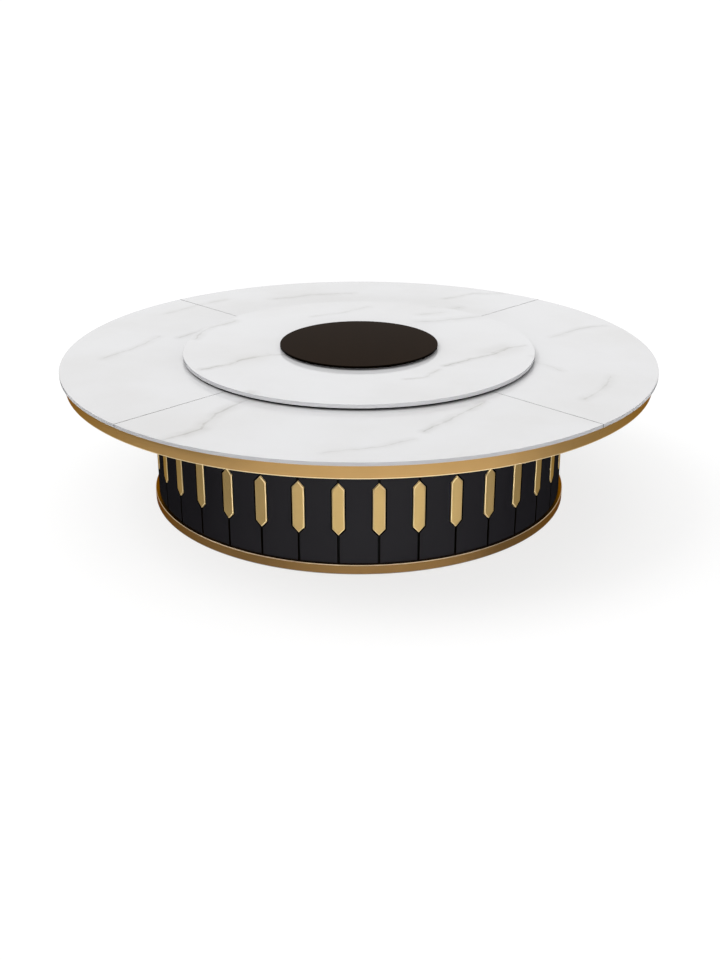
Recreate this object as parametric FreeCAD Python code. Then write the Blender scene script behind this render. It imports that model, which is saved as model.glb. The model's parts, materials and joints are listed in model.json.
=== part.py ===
import FreeCAD, Part
import math
import os

# Round banquet table for about sixteen people. A fixed ring of stone in four quarters stands on a
# drum clad with black panels and pointed gold inlays. A motor-driven stone turntable runs on rollers
# in the middle, and a glass disc turns by hand on top of it.
# Millimetres, Z up, origin on the floor under the centre, the front towards -Y.

# Fixed top
top_diameter = 3200.0
top_height = 775.0
stone_thickness = 18.0
stone_arris = 1.5
seam_gap = 4.0
substrate_thickness = 18.0
substrate_setback = 10.0
rim_width = 40.0

# Gold skirt under the edge of the fixed top
skirt_setback = 13.0
skirt_taper = 12.0
skirt_height = 70.0
skirt_sheet = 1.5
skirt_lip = 16.0
sheet_seam_gap = 0.4

# Drum cladding
drum_diameter = 2246.0
panels_per_quarter = 9
panel_thickness = 15.0
panel_edge = 1.5
groove_width = 9.0
skin_thickness = 6.0
glue_line = 0.3

# Gold inlays, one let in over every joint between two panels
inlay_width = 60.0
inlay_length = 268.0
inlay_point = 32.0
inlay_rise = 283.0
inlay_border = 5.5
inlay_proud = 2.0
inlay_bevel = 4.5
inlay_bevel_depth = 3.0

# Gold plinth round the foot of the drum
plinth_height = 51.0
plinth_proud = 20.0
plinth_edge = 3.0
plinth_lift = 4.0
plinth_sheet = 1.5
core_width = 80.0

# Feet under the plinth
feet_per_quarter = 4
foot_height = 8.0
foot_diameter = 60.0
foot_draft = 4.0

# Timber carcass inside the drum
ribs_per_quarter = 4
rib_thickness = 18.0
rib_depth = 120.0
rib_notch = 60.0
top_board_thickness = 18.0
top_board_width = 263.0

# Steel tubes that carry the overhang, and the plates that join the quarters of the top
arm_height = 40.0
arm_width = 40.0
arm_wall = 2.5
arm_inset = 60.0
arm_tip_height = 20.0
arm_taper_length = 150.0
arm_end_gap = 5.0
plate_length = 120.0
plate_width = 60.0
plate_thickness = 4.0
plate_place_shares = (0.35, 0.8)

# Turntable
turntable_diameter = 1906.0
turntable_stone_thickness = 20.0
turntable_board_thickness = 9.0
turntable_board_setback = 7.0
turntable_overlap = 53.0
turntable_gap = 4.0

# Track under the turntable, with a rim that the drive wheel presses on
track_width = 60.0
track_thickness = 6.0
track_rim_height = 28.0
track_rim_width = 6.0
drive_room = 260.0

# Rollers that carry the track
roller_count = 6
roller_diameter = 40.0
roller_width = 20.0
roller_edge = 1.5
roller_side_gap = 1.0
axle_diameter = 8.0
axle_head_diameter = 14.0
axle_head_thickness = 3.0
cheek_thickness = 3.0
cheek_width = 26.0
cheek_edge = 9.0
bracket_length = 46.0

# Clearances between moving and fixed pieces
running_clearance = 0.05
contact_gap = 0.3
fit_gap = 0.2

# Steel frame that holds the rollers, the spindle and the motor
frame_tube_width = 50.0
frame_tube_height = 30.0
frame_tube_wall = 3.0
frame_bearing_length = 200.0
hub_block_diameter = 260.0

# Bolts that hold the frame on the drum
bolt_diameter = 10.0
bolt_head_width = 17.0
bolt_head_height = 6.4
bolt_hole_clearance = 0.5
hex_sides = 6

# Spindle on the turntable's axis
spindle_diameter = 35.0
spindle_collar_diameter = 52.0
spindle_collar_height = 8.0
spindle_tail = 6.0
hub_flange_diameter = 180.0
hub_flange_thickness = 8.0
hub_boss_diameter = 68.0
hub_boss_height = 12.0
housing_diameter = 80.0
housing_length = 90.0
housing_flange_diameter = 120.0
housing_flange_thickness = 10.0
bearing_diameter = 62.0
bearing_width = 14.0
bearing_shoulder = 5.0
collar_gap = 1.5

# Drive wheel, gear motor and its bracket
wheel_diameter = 80.0
wheel_width = 24.0
wheel_edge = 2.0
wheel_hub_diameter = 30.0
wheel_hub_drop = 8.0
shaft_diameter = 12.0
shaft_depth = 28.0
motor_angle = 12.0
gearbox_width = 80.0
gearbox_height = 35.0
gearbox_corner = 8.0
motor_diameter = 70.0
motor_length = 90.0
motor_cap_diameter = 56.0
motor_cap_height = 10.0
bracket_plate_thickness = 6.0
bracket_plate_width = 86.0
bracket_plate_hole = 26.0
bracket_plate_corner = 12.0

# Control box inside the drum, with its mains inlet facing down
box_length = 240.0
box_depth = 140.0
box_height = 70.0
box_corner = 10.0
box_inlet_length = 48.0
box_inlet_width = 28.0
box_inlet_depth = 16.0
box_setback = 10.0
box_angle = 180.0

# Glass disc on the turntable, and the ball bearing that it turns on
disc_diameter = 858.0
disc_thickness = 12.0
disc_arris = 1.5
pad_thickness = 2.0
pad_diameter = 12.0
pad_count = 8
race_diameter = 302.0
race_gap = 2.0
race_ring_width = 18.0
race_ring_height = 7.0
race_ring_step = 1.0
ball_count = 12
ball_diameter = 5.0
ball_play = 0.15

# One overrun for every cut
overrun = 5.0

# Sizes and places worked out from the ones above
full_angle = 360.0
quarter_angle = 90.0
first_seam_angle = 225.0
quarter_names = ("front", "right", "back", "left")
quarter_starts = {name: first_seam_angle + quarter_angle * index for index, name in enumerate(quarter_names)}
top_radius = top_diameter / 2
turntable_radius = turntable_diameter / 2
opening_radius = turntable_radius - turntable_overlap
stone_low = top_height - stone_thickness
substrate_low = stone_low - substrate_thickness
arm_low = substrate_low - arm_height
top_board_low = arm_low - top_board_thickness
skirt_top_radius = top_radius - skirt_setback
skirt_low_radius = skirt_top_radius - skirt_taper
skirt_low = stone_low - skirt_height
rim_low = skirt_low + skirt_sheet + fit_gap
rim_inner_radius = skirt_low_radius - skirt_sheet - rim_width
drum_radius = drum_diameter / 2
panel_back_radius = drum_radius - panel_thickness
skin_radius = panel_back_radius - glue_line
skin_inner_radius = skin_radius - skin_thickness
panel_angle = quarter_angle / panels_per_quarter
rib_radius = skin_inner_radius - glue_line
rib_angle = quarter_angle / ribs_per_quarter
inlay_middle = plinth_height + inlay_rise
plinth_radius = drum_radius + plinth_proud
ledge_low = plinth_height - plinth_sheet
core_radius = plinth_radius - plinth_sheet - glue_line
core_inner_radius = core_radius - core_width
bore_radius = drum_radius - top_board_width
# The drive stands inside both the lid's bore and the stone's opening
track_radius = (bore_radius + opening_radius) / 2 - drive_room
board_low = top_height + turntable_gap
board_high = board_low + turntable_board_thickness
turntable_top = board_high + turntable_stone_thickness
track_low = board_low - track_thickness
rim_bottom = track_low - track_rim_height
roller_radius = roller_diameter / 2
roller_circle = track_radius - (track_width + track_rim_width) / 2
roller_height = track_low - contact_gap - roller_radius
frame_high = arm_low + frame_tube_height
frame_reach = bore_radius + frame_bearing_length
bolt_circle = bore_radius + frame_bearing_length / 2
housing_high = frame_high + housing_flange_thickness
housing_low = housing_high - housing_length
wheel_circle = track_radius + contact_gap + wheel_diameter / 2
wheel_low = rim_bottom + (track_rim_height - wheel_width) / 2
disc_low = turntable_top + race_ring_height + race_ring_step + pad_thickness
race_radius = race_diameter / 2
ball_room = ball_diameter / 2 + ball_play
race_depth = math.hypot(ball_room, ball_room) - race_gap / 2


def at_angle(shape, angle):
    """A copy of the shape, turned about the table's axis."""
    copy = shape.copy()
    copy.rotate(FreeCAD.Vector(), FreeCAD.Vector(0, 0, 1), angle)
    return copy


def spaced(shape, first_angle, step, count):
    """Copies of the shape at even steps about the table's axis."""
    return [at_angle(shape, first_angle + step * index) for index in range(count)]


def turned(profile, start=0.0, sweep=full_angle):
    """A solid of revolution about the table's axis; the profile's points are (radius, height)."""
    points = [FreeCAD.Vector(radius, 0, height) for radius, height in profile]
    face = Part.Face(Part.makePolygon(points + points[:1]))
    solid = face.revolve(FreeCAD.Vector(), FreeCAD.Vector(0, 0, 1), sweep)
    return at_angle(solid, start)


def band(inner, outer, low, high):
    """The profile of a plain ring."""
    return [(inner, low), (outer, low), (outer, high), (inner, high)]


def quarter(profile, name, gap=seam_gap):
    """One quarter of a ring, short of its two seams by half the gap each."""
    seam_angle = math.degrees(gap / top_radius)
    return turned(profile, quarter_starts[name] + seam_angle / 2, quarter_angle - seam_angle)


def bar(profile, width):
    """A bar along X with its middle on Y zero; the profile's points are (x, z)."""
    points = [FreeCAD.Vector(x, -width / 2, z) for x, z in profile]
    face = Part.Face(Part.makePolygon(points + points[:1]))
    return face.extrude(FreeCAD.Vector(0, width, 0))


def block(x_low, x_high, y_low, y_high, z_low, z_high):
    """A rectangular block between its lowest and highest corners."""
    corner = FreeCAD.Vector(x_low, y_low, z_low)
    return Part.makeBox(x_high - x_low, y_high - y_low, z_high - z_low, corner)


def post(radius, low, high, x=0.0, y=0.0):
    """An upright cylinder."""
    return Part.makeCylinder(radius, high - low, FreeCAD.Vector(x, y, low))


def rod(radius, x_low, x_high, z):
    """A cylinder along X."""
    axis = FreeCAD.Vector(1, 0, 0)
    return Part.makeCylinder(radius, x_high - x_low, FreeCAD.Vector(x_low, 0, z), axis)


def save(name, solids):
    """One file for one sub-part."""
    shape = solids[0] if len(solids) == 1 else Part.makeCompound(solids)
    shape.exportStep("parts/" + name + ".step")


def stone_top(name):
    """A quarter of the fixed stone ring, with its outer arrises taken off."""
    profile = [
        (opening_radius, stone_low),
        (top_radius - stone_arris, stone_low),
        (top_radius, stone_low + stone_arris),
        (top_radius, top_height - stone_arris),
        (top_radius - stone_arris, top_height),
        (opening_radius, top_height),
    ]
    return [quarter(profile, name)]


def top_substrate(name):
    """The board under a quarter of the stone, built up at its edge to back the skirt."""
    backing = skirt_sheet + glue_line
    slope = skirt_taper / skirt_height
    rim_radius = skirt_top_radius - slope * (stone_low - rim_low) - backing
    profile = [
        (opening_radius + substrate_setback, substrate_low),
        (rim_inner_radius, substrate_low),
        (rim_inner_radius, rim_low),
        (rim_radius, rim_low),
        (skirt_top_radius - backing, stone_low),
        (opening_radius + substrate_setback, stone_low),
    ]
    return [quarter(profile, name)]


def skirt(name):
    """Tapered gold sheet under the edge of the stone, folded in along its foot."""
    inner_foot = skirt_low_radius - skirt_sheet
    profile = [
        (skirt_top_radius, stone_low),
        (skirt_low_radius, skirt_low),
        (skirt_low_radius - skirt_lip, skirt_low),
        (skirt_low_radius - skirt_lip, skirt_low + skirt_sheet),
        (inner_foot, skirt_low + skirt_sheet),
        (skirt_top_radius - skirt_sheet, stone_low),
    ]
    return [quarter(profile, name, sheet_seam_gap)]


def hexagon(x, grow):
    """The outline of an inlay on the plane x, moved out by grow on every side."""
    half = inlay_width / 2
    slant = math.hypot(half, inlay_point)
    side = half + grow
    tip = inlay_length / 2 + grow * slant / half
    shoulder = tip - side * inlay_point / half
    right = [(0, tip), (side, shoulder), (side, -shoulder)]
    outline = right + [(-y, -z) for y, z in right]
    points = [FreeCAD.Vector(x, y, inlay_middle + z) for y, z in outline]
    return Part.makePolygon(points + points[:1])


def panel_joint():
    """What a joint takes out of the panels: the upright groove and the space round the inlay."""
    start = panel_back_radius - overrun
    reach = panel_thickness + 2 * overrun
    groove = block(start, start + reach, -groove_width / 2, groove_width / 2,
                   plinth_height - overrun, top_board_low + overrun)
    window = Part.Face(hexagon(start, inlay_border)).extrude(FreeCAD.Vector(reach, 0, 0))
    return [groove, window]


def on_panel_face(edge):
    """True for an edge that runs up the panel's outer face, beside a groove or a window."""
    first, last = edge.Vertexes[0].Point, edge.Vertexes[-1].Point
    outside = min(math.hypot(point.x, point.y) for point in (first, last)) > drum_radius - panel_edge
    return outside and abs(first.z - last.z) > panel_edge


def panels(name):
    """The curved black panels of one quarter, with their outer edges broken along the joints."""
    profile = band(panel_back_radius, drum_radius, plinth_height, top_board_low)
    blank = turned(profile, 0.0, panel_angle)
    cutters = panel_joint()
    cutters += [at_angle(cutter, panel_angle) for cutter in cutters]
    panel = blank.cut(cutters).Solids[0]
    panel = panel.makeChamfer(panel_edge, [edge for edge in panel.Edges if on_panel_face(edge)])
    return spaced(panel.Solids[0], quarter_starts[name], panel_angle, panels_per_quarter)


def inlays(name):
    """The gold inlays of one quarter, bevelled all round, with their backs on the skin."""
    front = drum_radius + inlay_proud
    outlines = [
        hexagon(panel_back_radius, 0),
        hexagon(front - inlay_bevel_depth, 0),
        hexagon(front, -inlay_bevel),
    ]
    inlay = Part.makeLoft(outlines, True, True)
    return spaced(inlay, quarter_starts[name], panel_angle, panels_per_quarter)


def backing_skins():
    """Bent plywood behind the panels."""
    profile = band(skin_inner_radius, skin_radius, plinth_height, top_board_low)
    return [quarter(profile, name) for name in quarter_starts]


def edge_profile(inset):
    """The plinth's outer corner, moved in from its face and ledge by the inset."""
    corner = plinth_edge + inset * math.tan(math.radians(quarter_angle / 4))
    return [
        (plinth_radius - inset, plinth_height - corner),
        (plinth_radius - corner, plinth_height - inset),
    ]


def plinth_trim(name):
    """Folded gold sheet: the plinth's face, its bevelled edge and the ledge under the panels."""
    profile = [(plinth_radius, plinth_lift)] + edge_profile(0)
    profile += [(skin_inner_radius, plinth_height), (skin_inner_radius, ledge_low)]
    profile += edge_profile(plinth_sheet)[::-1]
    profile += [(plinth_radius - plinth_sheet, plinth_lift)]
    return [quarter(profile, name, sheet_seam_gap)]


def plinth_core(name):
    """The timber ring that the trim wraps and the carcass stands on."""
    face, ledge = edge_profile(plinth_sheet + glue_line)
    ledge_radius = ledge[0] - glue_line
    profile = [
        (core_inner_radius, foot_height),
        (core_radius, foot_height),
        face,
        (ledge_radius, ledge_low),
        (core_inner_radius, ledge_low),
    ]
    return [quarter(profile, name)]


def at_ribs(shape):
    """Copies of the shape at every rib round the drum."""
    count = len(quarter_starts) * ribs_per_quarter
    return spaced(shape, quarter_starts["front"] + rib_angle / 2, rib_angle, count)


def glide_feet():
    """Moulded feet under the plinth core."""
    middle = core_radius - core_width / 2
    foot_radius = foot_diameter / 2
    place = FreeCAD.Vector(middle, 0, 0)
    foot = Part.makeCone(foot_radius - foot_draft, foot_radius, foot_height, place)
    step = quarter_angle / feet_per_quarter
    return spaced(foot, quarter_starts["front"] + step / 2, step, len(quarter_starts) * feet_per_quarter)


def carcass_ribs():
    """Upright boards between the plinth and the top boards, notched along their inner edge."""
    inner = rib_radius - rib_depth
    profile = [
        (core_inner_radius, ledge_low),
        (rib_radius, ledge_low),
        (rib_radius, top_board_low),
        (inner, top_board_low),
        (inner, top_board_low - rib_notch),
        (core_inner_radius, top_board_low - rib_notch - (core_inner_radius - inner)),
    ]
    rib = bar(profile, rib_thickness)
    return at_ribs(rib)


def frame_angles():
    """Where the arms of the drive frame point."""
    step = full_angle / roller_count
    return [step / 2 + step * index for index in range(roller_count)]


def bolt_holes():
    """The holes for the frame's bolts, through the frame and the top boards."""
    radius = bolt_diameter / 2 + bolt_hole_clearance
    hole = post(radius, top_board_low - overrun, frame_high + overrun, bolt_circle)
    return [at_angle(hole, angle) for angle in frame_angles()]


def top_boards():
    """The drum's lid: four boards on the ribs, skins and panels."""
    profile = band(bore_radius, drum_radius, top_board_low, arm_low)
    return [quarter(profile, name).cut(bolt_holes()).Solids[0] for name in quarter_starts]


def outrigger_arms():
    """Steel tubes from the drum out to the skirt, each tapered towards its tip."""
    root = bore_radius + arm_inset
    tip = rim_inner_radius - arm_end_gap
    knee = tip - arm_taper_length
    outer = [
        (root, arm_low),
        (knee, arm_low),
        (tip, substrate_low - arm_tip_height),
        (tip, substrate_low),
        (root, substrate_low),
    ]
    inner = [
        (root - overrun, arm_low + arm_wall),
        (knee, arm_low + arm_wall),
        (tip - arm_wall, substrate_low - arm_tip_height + arm_wall),
        (tip - arm_wall, substrate_low - arm_wall),
        (root - overrun, substrate_low - arm_wall),
    ]
    arm = bar(outer, arm_width).cut(bar(inner, arm_width - 2 * arm_wall))
    return at_ribs(arm)


def joining_plates():
    """Flat steel plates across the seams, under the boards of the top."""
    plates = []
    for share in plate_place_shares:
        middle = drum_radius + share * (rim_inner_radius - drum_radius)
        plate = block(middle - plate_width / 2, middle + plate_width / 2,
                      -plate_length / 2, plate_length / 2,
                      substrate_low - plate_thickness, substrate_low)
        plates += [at_angle(plate, start) for start in quarter_starts.values()]
    return plates


def drive_frame():
    """Six tubes welded to a round hub block; their ends lie on the drum's top boards."""
    start = hub_block_diameter / 4
    half = frame_tube_width / 2
    tube = block(start, frame_reach, -half, half, arm_low, frame_high)
    hollow = block(hub_block_diameter / 2, frame_reach + overrun,
                   frame_tube_wall - half, half - frame_tube_wall,
                   arm_low + frame_tube_wall, frame_high - frame_tube_wall)
    tube = tube.cut(hollow)
    hub = post(hub_block_diameter / 2, arm_low, frame_high)
    frame = hub.fuse([at_angle(tube, angle) for angle in frame_angles()]).removeSplitter()
    bore = post(housing_diameter / 2 + fit_gap, arm_low - overrun, frame_high + overrun)
    return frame.cut([bore] + bolt_holes()).Solids


def hex_prism(width, low, high, x):
    """A hexagonal head or nut, width across its flats."""
    step = math.radians(full_angle / hex_sides)
    radius = width / 2 / math.cos(step / 2)
    angles = [step * index for index in range(hex_sides)]
    points = [FreeCAD.Vector(x + radius * math.cos(a), radius * math.sin(a), low) for a in angles]
    return Part.Face(Part.makePolygon(points + points[:1])).extrude(FreeCAD.Vector(0, 0, high - low))


def frame_bolts():
    """A bolt and a nut through each arm of the frame and the board under it."""
    radius = bolt_diameter / 2
    nut_low = top_board_low - bolt_head_height
    head = hex_prism(bolt_head_width, frame_high, frame_high + bolt_head_height, bolt_circle)
    bolt = head.fuse(post(radius, nut_low, frame_high, bolt_circle)).removeSplitter()
    nut = hex_prism(bolt_head_width, nut_low, top_board_low, bolt_circle)
    thread = post(radius + running_clearance, nut_low - overrun, top_board_low + overrun, bolt_circle)
    nut = nut.cut(thread)
    return [at_angle(piece, angle) for angle in frame_angles() for piece in (bolt, nut)]


def cheek_reach():
    """How far a bracket's cheeks stand from the middle of the roller, to their outer faces."""
    return roller_width / 2 + roller_side_gap + cheek_thickness


def roller_brackets():
    """Bent steel forks on the frame's arms, one for each roller."""
    reach = cheek_reach()
    floor_high = frame_high + cheek_thickness
    floor = block(-reach, reach, -bracket_length / 2, bracket_length / 2, frame_high, floor_high)
    bracket = floor
    for x_low in (-reach, reach - cheek_thickness):
        plate = block(x_low, x_low + cheek_thickness, -cheek_width / 2, cheek_width / 2,
                      frame_high, roller_height)
        crown = rod(cheek_width / 2, x_low, x_low + cheek_thickness, roller_height)
        bracket = bracket.fuse([plate, crown])
    trimmed = block(-reach - overrun, reach + overrun, -bracket_length, bracket_length,
                    roller_height + cheek_edge, track_low)
    bore = rod(axle_diameter / 2 + running_clearance, -reach - overrun, reach + overrun, roller_height)
    bracket = bracket.removeSplitter().cut([trimmed, bore])
    bracket.translate(FreeCAD.Vector(roller_circle, 0, 0))
    return [at_angle(bracket.Solids[0], angle) for angle in frame_angles()]


def roller_axles():
    """A headed pin through each fork."""
    reach = cheek_reach()
    pin = rod(axle_diameter / 2, -reach, reach, roller_height)
    head = rod(axle_head_diameter / 2, -reach - axle_head_thickness, -reach, roller_height)
    pin = pin.fuse(head).removeSplitter()
    pin.translate(FreeCAD.Vector(roller_circle, 0, 0))
    return [at_angle(pin, angle) for angle in frame_angles()]


def roller(angle):
    """One roller, with its edges broken, on the frame's arm at this angle."""
    half = roller_width / 2
    bore = axle_diameter / 2 + running_clearance
    profile = [
        (bore, -half),
        (roller_radius - roller_edge, -half),
        (roller_radius, roller_edge - half),
        (roller_radius, half - roller_edge),
        (roller_radius - roller_edge, half),
        (bore, half),
    ]
    wheel = turned(profile)
    wheel.rotate(FreeCAD.Vector(), FreeCAD.Vector(0, 1, 0), quarter_angle)
    wheel.translate(FreeCAD.Vector(roller_circle, 0, roller_height))
    return [at_angle(wheel, angle)]


def spindle_housing():
    """The flanged sleeve that holds the spindle's two bearings."""
    seat = bearing_diameter / 2 + running_clearance
    waist = bearing_diameter / 2 - bearing_shoulder
    body = housing_diameter / 2
    flange = housing_flange_diameter / 2
    profile = [
        (seat, housing_low),
        (body, housing_low),
        (body, frame_high),
        (flange, frame_high),
        (flange, housing_high),
        (seat, housing_high),
        (seat, housing_high - bearing_width),
        (waist, housing_high - bearing_width),
        (waist, housing_low + bearing_width),
        (seat, housing_low + bearing_width),
    ]
    return [turned(profile)]


def spindle_bearings():
    """The two bearings, as closed rings."""
    bore = spindle_diameter / 2 + running_clearance
    lows = (housing_low, housing_high - bearing_width)
    return [turned(band(bore, bearing_diameter / 2, low, low + bearing_width)) for low in lows]


def spindle():
    """The turned shaft that keeps the turntable centred."""
    shaft = post(spindle_diameter / 2, housing_low - spindle_tail, board_low)
    collar_low = housing_high + collar_gap
    collar = post(spindle_collar_diameter / 2, collar_low, collar_low + spindle_collar_height)
    return [shaft.fuse(collar).removeSplitter()]


def hub_flange():
    """The flange under the turntable's board that holds the spindle."""
    bore = spindle_diameter / 2 + running_clearance
    flange_low = board_low - hub_flange_thickness
    boss = hub_boss_diameter / 2
    profile = [
        (bore, flange_low - hub_boss_height),
        (boss, flange_low - hub_boss_height),
        (boss, flange_low),
        (hub_flange_diameter / 2, flange_low),
        (hub_flange_diameter / 2, board_low),
        (bore, board_low),
    ]
    return [turned(profile)]


def track_ring():
    """The steel ring that the rollers run under, with a rim turned down for the drive wheel."""
    profile = [
        (track_radius - track_width, track_low),
        (track_radius - track_rim_width, track_low),
        (track_radius - track_rim_width, rim_bottom),
        (track_radius, rim_bottom),
        (track_radius, board_low),
        (track_radius - track_width, board_low),
    ]
    return [turned(profile)]


def turntable_board():
    """The black board under the turntable's stone, set back so that it shows as a shadow line."""
    return [post(turntable_radius - turntable_board_setback, board_low, board_high)]


def disc_profile(radius, arris, low, high):
    """The profile of a full disc with both arrises taken off."""
    return [
        (0, low),
        (radius - arris, low),
        (radius, low + arris),
        (radius, high - arris),
        (radius - arris, high),
        (0, high),
    ]


def turntable_stone():
    """The turning stone disc."""
    return [turned(disc_profile(turntable_radius, stone_arris, board_high, turntable_top))]


def glass_disc():
    """The dark glass disc that turns by hand on the turntable."""
    return [turned(disc_profile(disc_diameter / 2, disc_arris, disc_low, disc_low + disc_thickness))]


def race_height():
    """The height of the balls' centres."""
    return turntable_top + (race_ring_height + race_ring_step) / 2


def race_ring(face, back, low):
    """A bearing ring from its raceway face to its back, with a V-shaped race."""
    inward = 1 if back > face else -1
    middle = race_height()
    profile = [
        (face, low),
        (face, middle - race_depth),
        (face + inward * race_depth, middle),
        (face, middle + race_depth),
        (face, low + race_ring_height),
        (back, low + race_ring_height),
        (back, low),
    ]
    return [turned(profile)]


def disc_bearing_outer():
    """The bearing's lower ring, on the turntable."""
    face = race_radius + race_gap / 2
    return race_ring(face, face + race_ring_width, turntable_top)


def disc_bearing_inner():
    """The bearing's upper ring, under the glass."""
    face = race_radius - race_gap / 2
    return race_ring(face, face - race_ring_width, turntable_top + race_ring_step)


def bearing_balls():
    """The balls between the two rings."""
    place = FreeCAD.Vector(race_radius, 0, race_height())
    ball = Part.makeSphere(ball_diameter / 2, place)
    return spaced(ball, 0.0, full_angle / ball_count, ball_count)


def disc_pads():
    """Rubber pads between the upper ring and the glass."""
    middle = race_radius - (race_gap + race_ring_width) / 2
    pad = post(pad_diameter / 2, disc_low - pad_thickness, disc_low, middle)
    return spaced(pad, 0.0, full_angle / pad_count, pad_count)


def wheel_place():
    """The drive wheel's centre, beside the arm that carries the motor."""
    arm_angle = frame_angles()[0]
    return math.radians(arm_angle - motor_angle)


def to_motor(shape):
    """Moves a shape built on the table's axis out to the motor's axis."""
    angle = wheel_place()
    shape.translate(FreeCAD.Vector(wheel_circle * math.cos(angle), wheel_circle * math.sin(angle), 0))
    return shape


def drive_wheel():
    """The tyred friction wheel and the shaft that it turns on."""
    radius = wheel_diameter / 2
    wheel_high = wheel_low + wheel_width
    shaft_low = frame_high - shaft_depth
    profile = [
        (0, shaft_low),
        (shaft_diameter / 2, shaft_low),
        (shaft_diameter / 2, wheel_low - wheel_hub_drop),
        (wheel_hub_diameter / 2, wheel_low - wheel_hub_drop),
        (wheel_hub_diameter / 2, wheel_low),
        (radius - wheel_edge, wheel_low),
        (radius, wheel_low + wheel_edge),
        (radius, wheel_high - wheel_edge),
        (radius - wheel_edge, wheel_high),
        (0, wheel_high),
    ]
    return [to_motor(turned(profile))]


def rounded_block(length, width, low, high, corner):
    """An upright block with rounded corners, its middle on the table's axis."""
    solid = block(-length / 2, length / 2, -width / 2, width / 2, low, high)
    upright = [edge for edge in solid.Edges if abs(edge.tangentAt(edge.FirstParameter).z) > 0.5]
    return solid.makeFillet(corner, upright)


def gearmotor():
    """The gearbox under the bracket and the motor under the gearbox."""
    gearbox_low = frame_high - gearbox_height
    motor_low = gearbox_low - motor_length
    gearbox = rounded_block(gearbox_width, gearbox_width, gearbox_low, frame_high, gearbox_corner)
    motor = post(motor_diameter / 2, motor_low, gearbox_low)
    cap = post(motor_cap_diameter / 2, motor_low - motor_cap_height, motor_low)
    bore = post(shaft_diameter / 2 + running_clearance, frame_high - shaft_depth - fit_gap,
                frame_high + overrun)
    body = gearbox.fuse([motor, cap]).removeSplitter().cut(bore)
    body.rotate(FreeCAD.Vector(), FreeCAD.Vector(0, 0, 1), frame_angles()[0])
    return [to_motor(body.Solids[0])]


def motor_bracket():
    """The plate that hangs the motor from the side of a frame arm."""
    x = wheel_circle * math.cos(math.radians(motor_angle))
    y = -wheel_circle * math.sin(math.radians(motor_angle))
    y_low = y - gearbox_width / 2
    y_high = frame_tube_width / 2
    plate = rounded_block(bracket_plate_width, y_high - y_low, frame_high,
                          frame_high + bracket_plate_thickness, bracket_plate_corner)
    plate.translate(FreeCAD.Vector(x, (y_low + y_high) / 2, 0))
    hole = post(bracket_plate_hole / 2, frame_high - overrun,
                frame_high + bracket_plate_thickness + overrun, x, y)
    return [at_angle(plate.cut(hole).Solids[0], frame_angles()[0])]


def control_box():
    """The drive's electronics under a top board, with a recess for the mains inlet."""
    low = top_board_low - box_height
    body = rounded_block(box_depth, box_length, low, top_board_low, box_corner)
    inlet = block(-box_inlet_width / 2, box_inlet_width / 2, -box_inlet_length / 2, box_inlet_length / 2,
                  low - overrun, low + box_inlet_depth)
    body = body.cut(inlet).Solids[0]
    body.translate(FreeCAD.Vector(bore_radius + box_setback + box_depth / 2, 0, 0))
    return [at_angle(body, box_angle)]


def build():
    """Writes every sub-part."""
    os.makedirs("parts", exist_ok=True)
    for make in (stone_top, top_substrate, skirt, panels, inlays, plinth_trim, plinth_core):
        for name in quarter_starts:
            save(make.__name__ + "_" + name, make(name))
    for make in (glide_feet, carcass_ribs, backing_skins, top_boards, outrigger_arms, joining_plates,
                 drive_frame, frame_bolts, roller_brackets, roller_axles, spindle_housing,
                 spindle_bearings, gearmotor, motor_bracket, control_box, spindle, hub_flange,
                 track_ring, turntable_board, turntable_stone, disc_bearing_outer, bearing_balls,
                 drive_wheel, disc_bearing_inner, disc_pads, glass_disc):
        save(make.__name__, make())
    for index, angle in enumerate(frame_angles()):
        save("roller_" + str(index + 1), roller(angle))


build()
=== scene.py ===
import json
import math

import bmesh
import bpy
from mathutils import Matrix, Vector


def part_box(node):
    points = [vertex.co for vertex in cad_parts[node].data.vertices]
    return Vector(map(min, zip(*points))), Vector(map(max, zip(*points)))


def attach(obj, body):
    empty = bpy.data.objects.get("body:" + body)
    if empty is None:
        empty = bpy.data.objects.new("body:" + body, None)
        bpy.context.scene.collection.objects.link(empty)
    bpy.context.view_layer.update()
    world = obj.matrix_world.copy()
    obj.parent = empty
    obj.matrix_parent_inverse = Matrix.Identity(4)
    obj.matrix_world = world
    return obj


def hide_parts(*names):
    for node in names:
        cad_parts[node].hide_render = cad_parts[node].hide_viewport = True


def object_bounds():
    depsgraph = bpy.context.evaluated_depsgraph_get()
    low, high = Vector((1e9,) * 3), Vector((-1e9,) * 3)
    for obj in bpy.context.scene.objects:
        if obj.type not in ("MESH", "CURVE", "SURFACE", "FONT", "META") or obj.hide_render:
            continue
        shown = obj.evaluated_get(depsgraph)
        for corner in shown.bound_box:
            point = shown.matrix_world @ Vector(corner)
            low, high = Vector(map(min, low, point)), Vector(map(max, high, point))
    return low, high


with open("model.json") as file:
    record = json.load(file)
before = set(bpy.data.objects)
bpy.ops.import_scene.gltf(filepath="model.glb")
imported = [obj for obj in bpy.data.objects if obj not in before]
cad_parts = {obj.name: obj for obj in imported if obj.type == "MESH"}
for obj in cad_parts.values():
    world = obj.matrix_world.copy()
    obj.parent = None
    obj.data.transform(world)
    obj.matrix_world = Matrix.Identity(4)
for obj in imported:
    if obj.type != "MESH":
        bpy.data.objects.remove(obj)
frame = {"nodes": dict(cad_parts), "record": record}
cad_low, cad_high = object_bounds()

# The looks of a round banquet table: a fixed stone ring in four quarters with a gold skirt, a drum
# of black panels and pointed gold inlays on a gold plinth, a stone turntable and a dark glass disc.
# Metres and the frame's own axes: Z up, the floor at zero, the front towards -Y.

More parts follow.
